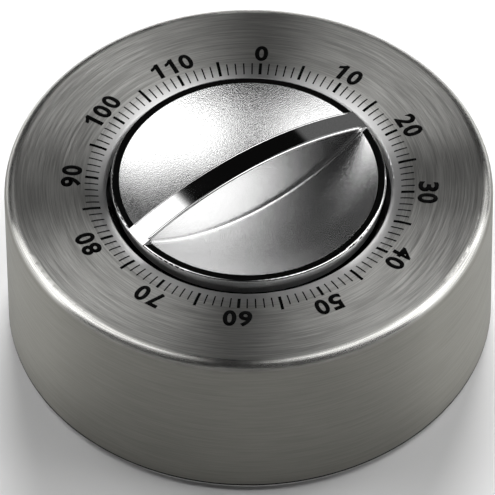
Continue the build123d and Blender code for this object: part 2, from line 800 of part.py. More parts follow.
with BuildPart() as cam_follower:
    with BuildSketch(Plane.XY.offset(cam_bottom)):
        bar(hammer_place, follower_tip, follower_width)
        with Locations(hammer_place):
            Circle(hammer_eye_radius)
            Circle(hammer_arbor_radius + seat_gap, mode=Mode.SUBTRACT)
    extrude(amount=cam_thickness)
save(cam_follower, "cam_follower")

with BuildPart() as hammer_arm:
    with BuildSketch(Plane.XY.offset(arm_bottom)):
        bar(hammer_place, head_place, hammer_arm_width)
        with Locations(hammer_place):
            Circle(hammer_eye_radius)
            Circle(hammer_arbor_radius + seat_gap, mode=Mode.SUBTRACT)
        with Locations(head_place):
            Circle(rivet_radius + seat_gap, mode=Mode.SUBTRACT)
    extrude(amount=hammer_arm_thickness)
save(hammer_arm, "hammer_arm")

# Hammer head: a brass button riveted to the arm
with BuildPart() as hammer_head:
    disc(arm_bottom - hammer_head_height, hammer_head_height, hammer_head_radius, [head_place])
    fillet(hammer_head.faces().sort_by(Axis.Z)[0].edges(), hammer_head_radius / 4)
    disc(arm_bottom, hammer_arm_thickness, rivet_radius, [head_place])
    disc(arm_bottom + hammer_arm_thickness, rivet_head_height, rivet_head_radius, [head_place])
save(hammer_head, "hammer_head")

# Hammer spring: a leaf under the lower plate that leans on the outer side of the arm
arm_side = across(hammer_place, head_place)
leaf_foot_radius = 2 * hammer_spring_strip
leaf_push = hammer_eye_radius + follower_gap + leaf_foot_radius
leaf_start = (hammer_place[0] + leaf_push * arm_side[0], hammer_place[1] + leaf_push * arm_side[1])
arm_middle = toward(hammer_place, head_place, hammer_spring_length)
leaf_lean = hammer_arm_width / 2 + follower_gap + hammer_spring_strip / 2
leaf_end = (arm_middle[0] + leaf_lean * arm_side[0], arm_middle[1] + leaf_lean * arm_side[1])
with BuildPart() as hammer_spring:
    with BuildSketch(Plane.XY.offset(arm_bottom)):
        bar(leaf_start, leaf_end, hammer_spring_strip)
    extrude(amount=hammer_arm_thickness * 2)
    disc(arm_bottom, low_plate_bottom - arm_bottom, leaf_foot_radius, [leaf_start])
save(hammer_spring, "hammer_spring")

# Bell: an open steel cup screwed to a post under the lower plate
bell_axis = Axis((*bell_offset, 0), (0, 0, 1))
with BuildPart() as bell_cup:
    with BuildSketch(Plane((*bell_offset, 0), x_dir=(1, 0, 0), z_dir=(0, -1, 0))) as bell_profile:
        with BuildLine():
            Polyline(
                (screw_radius + running_gap, bell_bottom),
                (bell_radius, bell_bottom),
                (bell_radius, bell_rim),
                (bell_radius - bell_wall, bell_rim),
                (bell_radius - bell_wall, bell_bottom + bell_wall),
                (screw_radius + running_gap, bell_bottom + bell_wall),
                close=True,
            )
        make_face()
        fillet(bell_profile.vertices().sort_by_distance((bell_radius, bell_bottom, 0))[0], bell_corner_radius)
        fillet(
            bell_profile.vertices().sort_by_distance(
                (bell_radius - bell_wall, bell_bottom + bell_wall, 0)
            )[0],
            bell_corner_radius - bell_wall,
        )
    revolve(axis=bell_axis)
save(bell_cup, "bell_cup")

with BuildPart() as bell_post:
    disc(bell_bottom + bell_wall, low_plate_bottom - bell_bottom - bell_wall, bell_post_radius, [bell_offset])
    disc(bell_bottom + bell_wall, screw_reach / 2, screw_radius + seat_gap, [bell_offset], Mode.SUBTRACT)
save(bell_post, "bell_post")

with BuildPart() as bell_screw:
    disc(bell_bottom - screw_head_height, screw_head_height, screw_head_radius, [bell_offset])
    disc(bell_bottom, bell_wall + screw_reach / 2 - end_play, screw_radius, [bell_offset])
save(bell_screw, "bell_screw")

# Stop pin: the knob's lug meets it at both ends of the dial
with BuildPart() as stop_pin:
    disc(high_plate_top, stop_pin_height, stop_pin_radius, [at(stop_ring_radius, stop_angle)])
save(stop_pin, "stop_pin")

# Space over the bowl: what a finger reaches on either side of the blade
bowl_centre = bowl_bottom + bowl_sphere
with BuildPart() as finger_space:
    with BuildSketch(Plane.XZ):
        with BuildLine():
            CenterArc((0, bowl_centre), bowl_sphere, -90, degrees(asin(bowl_radius / bowl_sphere)))
            Line((bowl_radius, rim_top), (knob_radius - knob_edge_radius, rim_top))
            CenterArc((knob_radius - knob_edge_radius, rim_top - knob_edge_radius), knob_edge_radius, 90, -90)
            Polyline(
                (knob_radius, rim_top - knob_edge_radius),
                (knob_radius + rim_width, rim_top - knob_edge_radius),
                (knob_radius + rim_width, blade_top + rim_width),
                (0, blade_top + rim_width),
                (0, bowl_bottom),
            )
        make_face()
    revolve(axis=Axis.Z)
    with BuildSketch(Plane.XY.offset(bowl_bottom)):
        Rectangle(4 * knob_radius, blade_width, rotation=blade_angle)
    extrude(amount=2 * (blade_top - bowl_bottom), mode=Mode.SUBTRACT)

# Space under the knob: round the hub, between the ribs and beside the stop lug
under_sphere = bowl_sphere + knob_wall
under_edge = bowl_centre - sqrt(under_sphere**2 - skirt_inner**2)
rib_length = knob_radius - rib_inner_radius
lug_inner = stop_ring_radius - stop_lug_overlap
with BuildPart() as under_space:
    with BuildSketch(Plane.XZ):
        with BuildLine():
            CenterArc((0, bowl_centre), under_sphere, -90, degrees(asin(skirt_inner / under_sphere)))
            Polyline(
                (skirt_inner, under_edge),
                (skirt_inner, skirt_bottom),
                (knob_radius + rim_width, skirt_bottom),
                (knob_radius + rim_width, hub_bottom - rim_width),
                (0, hub_bottom - rim_width),
                (0, underside),
            )
        make_face()
    revolve(axis=Axis.Z)
    disc(hub_bottom, bowl_bottom - hub_bottom, hub_radius, mode=Mode.SUBTRACT)
    with BuildSketch(Plane.XY.offset(rib_bottom)):
        with PolarLocations(rib_inner_radius + rib_length / 2, rib_count, start_angle=blade_angle):
            Rectangle(rib_length, rib_thickness)
    extrude(amount=rim_top - rib_bottom, mode=Mode.SUBTRACT)
    with BuildSketch(Plane.XY.offset(stop_pin_top - stop_lug_overlap)):
        with Locations(at((lug_inner + skirt_inner) / 2, lug_angle)):
            Rectangle(skirt_inner - lug_inner, stop_lug_width, rotation=lug_angle)
    extrude(amount=rim_top - stop_pin_top + stop_lug_overlap, mode=Mode.SUBTRACT)

# Knob: a round block under the blade's arch, hollowed from above on both sides of the blade and from below
clip_bottom = hub_bottom + clip_width
blade_plane = Plane((0, 0, 0), x_dir=(*at(1.0, blade_angle), 0), z_dir=(*at(1.0, -set_turn), 0))
with BuildPart() as knob:
    disc(hub_bottom, blade_top - hub_bottom + rim_width, knob_radius)
    with BuildSketch(blade_plane):
        with BuildLine():
            ThreePointArc((-knob_radius, rim_top), (0, blade_top), (knob_radius, rim_top))
            Polyline(
                (knob_radius, rim_top),
                (knob_radius, hub_bottom - rim_width),
                (-knob_radius, hub_bottom - rim_width),
                (-knob_radius, rim_top),
            )
        make_face()
    extrude(amount=2 * knob_radius, both=True, mode=Mode.INTERSECT)
    add(finger_space.part, mode=Mode.SUBTRACT)
    arcs = knob.edges().filter_by(GeomType.CIRCLE)
    creases = arcs.filter_by(lambda edge: abs(edge.radius - crease_circle) < seat_gap)
    fillet(creases, blade_crease_radius)
    add(under_space.part, mode=Mode.SUBTRACT)
    with BuildSketch(Plane.XY.offset(hub_bottom)):
        Circle(main_radius + seat_gap)
        with Locations((main_flat + seat_gap + main_radius / 2, 0)):
            Rectangle(main_radius, 2 * main_radius + rim_width, mode=Mode.SUBTRACT)
    extrude(amount=main_top + end_play - hub_bottom, mode=Mode.SUBTRACT)
    with BuildSketch(Plane.XY.offset(clip_bottom)):
        Circle(hub_radius)
        Circle(hub_radius - clip_depth, mode=Mode.SUBTRACT)
    extrude(amount=clip_width, mode=Mode.SUBTRACT)
save(knob, "knob")

# Knob clip: an open spring ring in the groove of the hub that grips the arbor
with BuildPart() as knob_clip:
    with BuildSketch(Plane.XY.offset(clip_bottom + seat_gap)):
        Circle(hub_radius + clip_depth)
        Circle(hub_radius - clip_depth + seat_gap, mode=Mode.SUBTRACT)
        with BuildLine():
            Polyline(
                (0, 0),
                at(3 * hub_radius, lug_angle - clip_opening / 2),
                at(3 * hub_radius, lug_angle + clip_opening / 2),
                close=True,
            )
        make_face(mode=Mode.SUBTRACT)
    extrude(amount=clip_width - 2 * seat_gap)
save(knob_clip, "knob_clip")

print("case", round(case_diameter, 2), "top", round(case_top, 2), "overall height", round(blade_top, 2))
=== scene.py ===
import json
from math import asin, cos, pi, radians, sin, sqrt

import bmesh
import bpy
from mathutils import Matrix, Vector


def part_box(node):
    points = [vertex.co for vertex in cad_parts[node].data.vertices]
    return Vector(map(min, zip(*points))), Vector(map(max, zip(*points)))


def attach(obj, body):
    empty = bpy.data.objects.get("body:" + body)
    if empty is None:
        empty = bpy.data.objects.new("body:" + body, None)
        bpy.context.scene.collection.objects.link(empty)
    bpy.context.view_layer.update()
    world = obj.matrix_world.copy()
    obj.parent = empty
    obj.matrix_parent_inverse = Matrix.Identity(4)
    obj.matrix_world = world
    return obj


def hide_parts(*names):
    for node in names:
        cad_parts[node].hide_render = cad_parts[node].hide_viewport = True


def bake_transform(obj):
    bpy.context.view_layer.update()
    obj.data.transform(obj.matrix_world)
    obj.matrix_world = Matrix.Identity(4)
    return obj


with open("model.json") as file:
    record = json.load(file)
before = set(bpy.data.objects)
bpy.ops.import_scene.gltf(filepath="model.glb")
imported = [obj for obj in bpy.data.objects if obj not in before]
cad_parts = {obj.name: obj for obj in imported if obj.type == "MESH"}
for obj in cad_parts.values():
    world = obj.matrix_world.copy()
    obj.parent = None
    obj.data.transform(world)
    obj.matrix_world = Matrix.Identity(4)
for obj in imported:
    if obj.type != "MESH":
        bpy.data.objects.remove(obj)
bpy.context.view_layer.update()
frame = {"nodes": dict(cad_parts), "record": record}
nodes = frame["nodes"]
scene = bpy.context.scene
scene.view_settings.view_transform = "Standard"

MM = 0.001

# Corners closer than this are joined
WELD = 0.001 * MM

# The can and the knob, read from the solids
case_low, case_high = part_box("case_shell")
knob_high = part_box("knob")[1]
CASE_TOP = case_high.z
CASE_BOTTOM = case_low.z
CASE_RADIUS = case_high.x
KNOB_RADIUS = knob_high.x
BLADE_TOP = knob_high.z

# The flat of the case top ends where the shoulder starts to turn down
SHOULDER_ROUND = 2.0 * MM
FLAT_OUTER = CASE_RADIUS - SHOULDER_ROUND

# The case top sinks towards the knob hole in an easy curve
SINK_START = 27.28 * MM
SINK_ROUND = 12.0 * MM

# Radii between which one finish of the can runs into the next, and over which the painted highlight of the
# paler ring by the knob hole fades in
SHOULDER_BLEND = (FLAT_OUTER - 0.3 * MM, FLAT_OUTER + 0.8 * MM)
WALL_BLEND = (CASE_RADIUS - 0.6 * MM, CASE_RADIUS - 0.05 * MM)
SHEEN_RING_BLEND = (SINK_START, SINK_START - 3.0 * MM)

# Heights at the foot of the wall: a dark line of painted shade for the seam gap, over the cut edge of the
# base plate, which is painted bright, partly as a painted highlight
SEAM_SHADE_BLEND = (CASE_BOTTOM + 0.42 * MM, CASE_BOTTOM + 0.30 * MM)
CUT_EDGE_HIGHLIGHT_BLEND = (CASE_BOTTOM + 0.04 * MM, CASE_BOTTOM - 0.02 * MM)

# The knob: the way its blade points, half the blade's width, its rise, and the polished rim's inner edge
BLADE_ANGLE = radians(39.0)
BLADE_HALF = 2.1 * MM
BLADE_RISE = 4.6 * MM
RIM_INNER = 21.15 * MM
POLISH_MARGIN = 0.01 * MM

# The rounded edges of the blade: the radius on each side, the share of it that is sunk, and the run-in
BEAD_RADIUS = {-1: 0.36 * MM, 1: 0.20 * MM}
BEAD_SINK = 0.73
BEAD_RUN_IN = 0.1 * MM
BEAD_CORNERS = 10
BEAD_STEPS = 64

# The base screws: ring, first place, head, depth of head and shank
SCREW_COUNT = 3
SCREW_RING = 35.3 * MM
SCREW_ANGLE = radians(95.0)
SCREW_HEAD = 2.0 * MM
SCREW_DEPTH = 0.5 * MM
SCREW_SHANK = 1.0 * MM
SCREW_CORNERS = 48

# Shares of the head: its upright side, its crown, and the cross recess
SIDE_SHARE = 0.55
CROWN_SHARE = 0.82
CROSS_ARM = 0.55
CROSS_HALF = 0.16
CROSS_SINK = 0.7
CROSS_TAPER = 0.7

# The strips of the click and hammer springs
SPRING_CUTS = 12

# The printed dial: radii of the tick ends and of the figures' feet, and the sizes of the strokes
MINUTES = 120
TICK_INNER = 24.8 * MM
TICK_OUTER = 27.0 * MM
LONG_TICK_OUTER = 27.8 * MM
THIN_TICK = 0.22 * MM
THICK_TICK = 0.5 * MM
TICK_CUTS = 5
FIGURE_FOOT = 27.55 * MM
FIGURE_HEIGHT = 3.35 * MM
FIGURE_WIDTH = 2.2 * MM
FIGURE_PITCH = 2.55 * MM
FIGURE_STROKE = 0.76 * MM
FIGURE_WEIGHT = 0.036
FIGURE_STEPS = 6
DIAL_SHIFT = Vector((0.2 * MM, -0.25 * MM, 0))
INK_LIFT = 0.02 * MM
INK_DEPTH = 0.015 * MM


# Camera

VIEW_ELEVATION = radians(48.31)
VIEW_TURN = radians(4.35)
VIEW_ROLL = radians(-0.62)
VIEW_DISTANCE = 1.5
VIEW_LENS = 662.3
VIEW_SENSOR = 36.0
VIEW_END = 50.0
VIEW_HEIGHT = 15.775 * MM
VIEW_ASIDE = -0.28 * MM
VIEW_ABOVE = -0.675 * MM


def set_camera():
    """A long lens that looks down on the dial from the front."""
    level = Vector((cos(VIEW_TURN), sin(VIEW_TURN), 0))
    toward = Vector((sin(VIEW_TURN), -cos(VIEW_TURN), 0))
    back = cos(VIEW_ELEVATION) * toward + Vector((0, 0, sin(VIEW_ELEVATION)))
    rise = back.cross(level)
    right = cos(VIEW_ROLL) * level + sin(VIEW_ROLL) * rise
    up = back.cross(right)
    aim = Vector((0, 0, VIEW_HEIGHT)) + VIEW_ASIDE * right + VIEW_ABOVE * up
    place = Matrix((right, up, back)).transposed().to_4x4()
    place.translation = aim + VIEW_DISTANCE * back
    data = bpy.data.cameras.new("view")
    data.lens = VIEW_LENS
    data.sensor_width = VIEW_SENSOR
    data.clip_end = VIEW_END
    camera = bpy.data.objects.new("view", data)
    camera.matrix_world = place
    scene.collection.objects.link(camera)
    scene.camera = camera


set_camera()


# Nodes

NOISE_MIDDLE = (0.3, 0.7)


def add(tree, kind, inputs=None, **settings):
    """Adds a node; its inputs are given by name or number as values or as sockets to link."""
    made = tree.nodes.new(kind)
    for name, value in settings.items():
        setattr(made, name, value)
    for name, value in (inputs or {}).items():
        if isinstance(value, bpy.types.NodeSocket):
            tree.links.new(value, made.inputs[name])
        else:
            made.inputs[name].default_value = value
    return made


def maths(tree, operation, first, second=0.0):
    """One sum on values or sockets."""
    return add(tree, "ShaderNodeMath", {0: first, 1: second}, operation=operation).outputs[0]


def overlap(tree, first, *others):
    """Where all of several masks hold."""
    for mask in others:
        first = maths(tree, "MULTIPLY", first, mask)
    return first


def ramp(tree, value, low, high, to_low=0.0, to_high=1.0):
    """A smooth step of a value between two levels."""
    made = add(
        tree,
        "ShaderNodeMapRange",
        {"Value": value, "From Min": low, "From Max": high, "To Min": to_low, "To Max": to_high},
        interpolation_type="SMOOTHSTEP",
    )
    return made.outputs["Result"]


def spread(tree, value, low=0.0, high=1.0):
    """The middle of a noise, where it mostly lies, spread between two levels."""
    return ramp(tree, value, *NOISE_MIDDLE, low, high)


def blend_colour(tree, amount, first, second):
    """A colour between two, by an amount."""
    return add(tree, "ShaderNodeMix", {0: amount, 6: first, 7: second}, data_type="RGBA").outputs[2]


def blend_value(tree, amount, first, second):
    """A value between two, by an amount."""
    return add(tree, "ShaderNodeMix", {0: amount, 2: first, 3: second}, data_type="FLOAT").outputs[0]


def own_place(tree):
    """The place on the piece, in the part's own frame."""
    return add(tree, "ShaderNodeTexCoord").outputs["Object"]


def split(tree, place):
    """The three parts of a place or a direction."""
    return add(tree, "ShaderNodeSeparateXYZ", {0: place}).outputs


def radius_of(tree, place):
    """The distance of a place from the timer's axis."""
    x, y = split(tree, place)[:2]
    squares = maths(tree, "ADD", maths(tree, "POWER", x, 2.0), maths(tree, "POWER", y, 2.0))
    return maths(tree, "SQRT", squares)


def noise(tree, place, scale, detail, **others):
    """A noise over a place."""
    inputs = {"Vector": place, "Scale": scale, "Detail": detail, **others}
    return add(tree, "ShaderNodeTexNoise", inputs).outputs[0]


def new_group(name, inputs, outputs):
    """An empty shader node group with named value sockets."""
    tree = bpy.data.node_groups.new(name, "ShaderNodeTree")
    for socket, value in inputs:
        made = tree.interface.new_socket(socket, in_out="INPUT", socket_type="NodeSocketFloat")
        made.default_value = value
    for socket in outputs:
        tree.interface.new_socket(socket, in_out="OUTPUT", socket_type="NodeSocketFloat")
    return tree, tree.nodes.new("NodeGroupInput"), tree.nodes.new("NodeGroupOutput")


def brushing_group():
    """Brush marks that run round the can's axis, on its flat top and on its wall alike."""
    tree, given, made = new_group(
        "turned_brushing", [("Fine", 9000.0), ("Along", 70.0)], ["Streak", "Scratch"]
    )
    place = own_place(tree)
    x, y, z = split(tree, place)
    across = maths(tree, "SUBTRACT", z, radius_of(tree, place))
    east = maths(tree, "MULTIPLY", x, given.outputs["Along"])
    north = maths(tree, "MULTIPLY", y, given.outputs["Along"])
    fine = maths(tree, "MULTIPLY", across, given.outputs["Fine"])
    for scale, socket, detail in ((1.0, "Streak", 3.0), (0.7, "Scratch", 1.0)):
        finer = maths(tree, "MULTIPLY", fine, scale)
        where = add(tree, "ShaderNodeCombineXYZ", {0: finer, 1: east, 2: north}).outputs[0]
        tree.links.new(noise(tree, where, 1.0, detail, Roughness=0.6), made.inputs[socket])
    return tree


def play_group():
    """Uneven handling of a surface: broad cloudy play and a fine tooth."""
    tree, given, made = new_group("surface_play", [("Broad", 120.0), ("Tooth", 4000.0)], ["Cloud", "Tooth"])
    place = own_place(tree)
    for scale, socket, detail in (("Broad", "Cloud", 4.0), ("Tooth", "Tooth", 2.0)):
        tree.links.new(noise(tree, place, given.outputs[scale], detail), made.inputs[socket])
    return tree


BRUSHING = brushing_group()
PLAY = play_group()


# Materials


def grey(level, warm=0.0):
    """A grey, a little warm or cool."""
    return (level * (1 + warm), level, level * (1 - warm), 1.0)


# Tones between which each finish varies
STEEL_TOP = ((0.465, 0.46, 0.442, 1.0), (0.765, 0.76, 0.73, 1.0))
# The wall's tone is darker than the top's, though it is the same sheet: painted shade.
STEEL_WALL_PAINTED_SHADE = ((0.228, 0.225, 0.204, 1.0), (0.275, 0.27, 0.245, 1.0))
# A paler steel on the ring by the knob hole: a painted highlight.
STEEL_PAINTED_SHEEN = grey(0.86, 0.005)
# The base plate's bare cut edge, painted brighter than steel as a painted highlight.
STEEL_CUT_WITH_HIGHLIGHT = grey(0.92, 0.01)
# Near black for the seam under the wall: painted shade in the gap.
SEAM_PAINTED_SHADE = grey(0.02)
CHROME = (grey(0.68), grey(0.78))
POLISHED = (grey(0.82), grey(0.90))
PLATE = (grey(0.48), grey(0.60))
ZINC = (grey(0.52, -0.01), grey(0.66, -0.015))
ARBOR = (grey(0.50), grey(0.62))
BELL = (grey(0.62), grey(0.72))
BRASS = ((0.60, 0.43, 0.17, 1.0), (0.78, 0.60, 0.27, 1.0))
BLUED = ((0.16, 0.18, 0.24, 1.0), (0.30, 0.32, 0.38, 1.0))
IVORY = ((0.70, 0.68, 0.61, 1.0), (0.80, 0.78, 0.72, 1.0))
BLACK_PLASTIC = (grey(0.018), grey(0.03))
BLACK_RUBBER = (grey(0.02), grey(0.035))
BLACK_INK = (grey(0.001), grey(0.003))
TABLE_WHITE = (grey(0.80), grey(0.82))

# Roughness between which each finish of the can and the knob varies
TOP_GLOSS = (0.32, 0.39)
SHOULDER_GLOSS = (0.22, 0.26)
WALL_GLOSS = (0.38, 0.44)
SATIN_GLOSS = (0.08, 0.11)
POLISHED_GLOSS = (0.03, 0.06)

# How much of the can's colour follows the streaks, and the middle of the streaks and of the satin's grain
STREAK_SHARE = 0.75
STREAK_MIDDLE = (0.32, 0.68)
GRAIN_MIDDLE = (0.35, 0.65)

# Depths of the grain on a surface
BRUSH_DEPTH = 0.01 * MM
SATIN_DEPTH = 0.042 * MM
METAL_DEPTH = 0.01 * MM
MOULDED_DEPTH = 0.02 * MM

# Scales of the tooth of the plain metals and of the clouds in the moulded finishes
METAL_TOOTH = 5000.0
MOULDED_CLOUD = 90.0


def use(tree, group, **values):
    """Places a node group in a material."""
    made = tree.nodes.new("ShaderNodeGroup")
    made.node_tree = group
    for name, value in values.items():
        made.inputs[name].default_value = value
    return made.outputs


def start_material(name, **sockets):
    """A new material; the sockets are set on its shader."""
    made = bpy.data.materials.new(name)
    made.use_nodes = True
    tree = made.node_tree
    shader = tree.nodes["Principled BSDF"]
    for socket, value in sockets.items():
        shader.inputs[socket.replace("_", " ")].default_value = value
    return made, tree, shader


def feed(tree, shader, **values):
    """Links values that change over the surface to the shader."""
    for socket, value in values.items():
        tree.links.new(value, shader.inputs[socket.replace("_", " ")])


def dent(tree, height, strength, depth):
    """A normal that follows a bump."""
    made = add(tree, "ShaderNodeBump", {"Height": height, "Strength": strength, "Distance": depth})
    return made.outputs[0]


def brushed_can():
    """Stainless sheet brushed round the can: a streaky top, a smoother shoulder and a dull wall. The wall is
    painted darker as painted shade, a ring by the knob hole is painted paler as a painted highlight, a
    near-black line at the seam is painted shade, and the plate's cut edge is painted bright, partly as a
    painted highlight.
    """
    made, tree, shader = start_material(
        "brushed_can", Metallic=1.0, Anisotropic=0.95, Anisotropic_Rotation=0.25
    )
    place = own_place(tree)
    radius = radius_of(tree, place)
    height = split(tree, place)[2]
    marks = use(tree, BRUSHING, Fine=5200.0, Along=120.0)
    play = use(tree, PLAY, Broad=60.0, Tooth=2500.0)

    # Where each finish lies, and where the painted shade and the painted highlights lie
    shoulder = ramp(tree, radius, *SHOULDER_BLEND)
    wall = ramp(tree, radius, *WALL_BLEND)
    sheen_ring = ramp(tree, radius, *SHEEN_RING_BLEND)
    seam_shade = ramp(tree, height, *SEAM_SHADE_BLEND)
    cut_edge_highlight = ramp(tree, height, *CUT_EDGE_HIGHLIGHT_BLEND)

    # Colour, with painted shade and painted highlights
    streak = maths(tree, "MULTIPLY", marks["Streak"], STREAK_SHARE)
    cloud = maths(tree, "MULTIPLY", play["Cloud"], 1 - STREAK_SHARE)
    streaky = ramp(tree, maths(tree, "ADD", streak, cloud), *STREAK_MIDDLE)
    # The paler ring by the knob hole is a painted highlight.
    tone = blend_colour(tree, sheen_ring, blend_colour(tree, streaky, *STEEL_TOP), STEEL_PAINTED_SHEEN)
    # The darker wall tone is painted shade.
    tone = blend_colour(tree, wall, tone, blend_colour(tree, streaky, *STEEL_WALL_PAINTED_SHADE))
    # The near-black line at the seam is painted shade.
    tone = blend_colour(tree, seam_shade, tone, SEAM_PAINTED_SHADE)
    # The bright cut edge of the plate is partly bare steel and partly a painted highlight.
    tone = blend_colour(tree, cut_edge_highlight, tone, STEEL_CUT_WITH_HIGHLIGHT)

    # Gloss, and the way of the brush marks
    rough = spread(tree, marks["Scratch"], *TOP_GLOSS)
    smooth = spread(tree, marks["Scratch"], *SHOULDER_GLOSS)
    dull = spread(tree, marks["Scratch"], *WALL_GLOSS)
    gloss = blend_value(tree, wall, blend_value(tree, shoulder, rough, smooth), dull)
    way = add(tree, "ShaderNodeTangent", direction_type="RADIAL", axis="Z").outputs[0]
    normal = dent(tree, marks["Streak"], 0.25, BRUSH_DEPTH)
    feed(tree, shader, Base_Color=tone, Roughness=gloss, Tangent=way, Normal=normal)
    return made


def knob_chrome():
    """Chrome that is blasted to a grainy satin in the bowl and polished on the rim and the blade's top."""
    made, tree, shader = start_material("knob_chrome", Metallic=1.0)
    place = own_place(tree)
    x, y = split(tree, place)[:2]
    grain = use(tree, PLAY, Broad=90.0, Tooth=6500.0)

    # Where the chrome is polished
    across_x = maths(tree, "MULTIPLY", x, sin(BLADE_ANGLE))
    across_y = maths(tree, "MULTIPLY", y, cos(BLADE_ANGLE))
    aside = maths(tree, "ABSOLUTE", maths(tree, "SUBTRACT", across_y, across_x))
    on_blade = maths(tree, "LESS_THAN", aside, BLADE_HALF - POLISH_MARGIN)
    on_rim = maths(tree, "GREATER_THAN", radius_of(tree, place), RIM_INNER)
    polished = maths(tree, "MAXIMUM", on_blade, on_rim)
    satin = maths(tree, "SUBTRACT", 1.0, polished)

    # Gloss, colour and grain
    rough = spread(tree, grain["Cloud"], *SATIN_GLOSS)
    smooth = spread(tree, grain["Cloud"], *POLISHED_GLOSS)
    gloss = blend_value(tree, polished, rough, smooth)
    tone = blend_colour(tree, ramp(tree, grain["Tooth"], *GRAIN_MIDDLE), *CHROME)
    normal = dent(tree, maths(tree, "MULTIPLY", grain["Tooth"], satin), 1.0, SATIN_DEPTH)
    feed(tree, shader, Base_Color=tone, Roughness=gloss, Normal=normal)
    return made


def cloudy(name, tones, low, high, broad, tooth, bump, depth, **sockets):
    """A finish with a cloudy colour between two tones, uneven gloss and a fine tooth."""
    made, tree, shader = start_material(name, **sockets)
    play = use(tree, PLAY, Broad=broad, Tooth=tooth)
    tone = blend_colour(tree, spread(tree, play["Cloud"]), *tones)
    gloss = spread(tree, play["Tooth"], low, high)
    feed(tree, shader, Base_Color=tone, Roughness=gloss, Normal=dent(tree, play["Tooth"], bump, depth))
    return made


def plain_metal(name, tones, low, high, broad=150.0, bump=0.1):
    """Stamped, ground or plated metal."""
    return cloudy(name, tones, low, high, broad, METAL_TOOTH, bump, METAL_DEPTH, Metallic=1.0)


def moulded(name, tones, low, high, tooth=2500.0, bump=0.2, shine=0.4):
    """Moulded plastic, rubber or ink."""
    return cloudy(name, tones, low, high, MOULDED_CLOUD, tooth, bump, MOULDED_DEPTH, Specular_IOR_Level=shine)


finishes = {
    "case_steel": brushed_can(),
    "knob_chrome": knob_chrome(),
    "housing_plastic": moulded("housing_plastic", BLACK_PLASTIC, 0.45, 0.62),
    "foot_rubber": moulded("foot_rubber", BLACK_RUBBER, 0.65, 0.85, tooth=1500.0, bump=0.35),
    "plate_steel": plain_metal("plate_steel", PLATE, 0.28, 0.42),
    "screw_steel": plain_metal("screw_zinc", ZINC, 0.18, 0.30, broad=400.0),
    "arbor_steel": plain_metal("arbor_steel", ARBOR, 0.12, 0.24, broad=300.0),
    "wheel_brass": plain_metal("wheel_brass", BRASS, 0.22, 0.38),
    "wheel_plastic": moulded("wheel_plastic", IVORY, 0.35, 0.5),
    "spring_steel": plain_metal("spring_steel", BLUED, 0.20, 0.34, broad=250.0),
    "bell_steel": plain_metal("bell_plate", BELL, 0.10, 0.2, broad=60.0),
}
polished_chrome = plain_metal("polished_chrome", POLISHED, 0.05, 0.1, broad=400.0, bump=0.03)
ink = moulded("dial_ink", BLACK_INK, 0.5, 0.7, tooth=5000.0, bump=0.05, shine=0.02)

for part in frame["record"]["subparts"]:
    slots = nodes[part["node"]].data.materials
    slots.clear()
    slots.append(finishes[part["material_slot"]])


# Pieces


def finish_mesh(shape, name):
    """Turns a bmesh into a mesh."""
    mesh = bpy.data.meshes.new(name)
    shape.to_mesh(mesh)
    shape.free()
    return mesh


def link_piece(name, mesh, material):
    """Puts a finished mesh in the scene with its material."""
    mesh.materials.append(material)
    piece = bpy.data.objects.new(name, mesh)
    scene.collection.objects.link(piece)
    return piece


def show(name, mesh, body, material):
    """Links a finished mesh as a piece that rides on a body."""
    piece = link_piece(name, mesh, material)
    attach(piece, body)
    return piece


def added(grown):
    """The corners and the edges that an operator has added."""
    corners = [part for part in grown["geom"] if isinstance(part, bmesh.types.BMVert)]
    edges = [part for part in grown["geom"] if isinstance(part, bmesh.types.BMEdge)]
    return corners, edges


def whole(shape):
    """All the corners, edges and faces of a shape."""
    return shape.verts[:] + shape.edges[:] + shape.faces[:]


# The printed dial


def top_height(radius):
    """The height of the case top at a radius, where the dial is printed."""
    inside = max(0.0, SINK_START - radius)
    return CASE_TOP - SINK_ROUND + sqrt(SINK_ROUND**2 - inside**2)


def print_layer(shape):
    """Lays flat printed shapes on the case top and gives them the thickness of a coat of ink."""
    for corner in shape.verts:
        corner.co.z = top_height(corner.co.to_2d().length) + INK_LIFT
    lower = added(bmesh.ops.extrude_face_region(shape, geom=shape.faces[:]))[0]
    bmesh.ops.translate(shape, verts=lower, vec=(0, 0, -INK_DEPTH))
    bmesh.ops.recalc_face_normals(shape, faces=shape.faces[:])


def dial_place(minute, radius):
    """The turn and shift that puts a flat shape, drawn with its top to +Y, at a minute of the dial."""
    turn = Matrix.Rotation(-2 * pi * minute / MINUTES, 4, "Z")
    return Matrix.Translation(DIAL_SHIFT) @ turn @ Matrix.Translation((0, radius, 0))


def draw_ticks():
    """One tick a minute: heavy at the fives and longest between the figures."""
    shape = bmesh.new()
    for minute in range(MINUTES):
        width, outer = THIN_TICK, TICK_OUTER
        if minute % 10 == 5:
            width, outer = THICK_TICK, LONG_TICK_OUTER
        elif minute % 10 == 0:
            width = THICK_TICK
        tick = bmesh.ops.create_grid(shape, x_segments=1, y_segments=TICK_CUTS, size=0.5)["verts"]
        place = dial_place(minute, (TICK_INNER + outer) / 2)
        place = place @ Matrix.Diagonal((width, outer - TICK_INNER, 1, 1))
        bmesh.ops.transform(shape, matrix=place, verts=tick)
    print_layer(shape)
    return finish_mesh(shape, "dial_ticks")


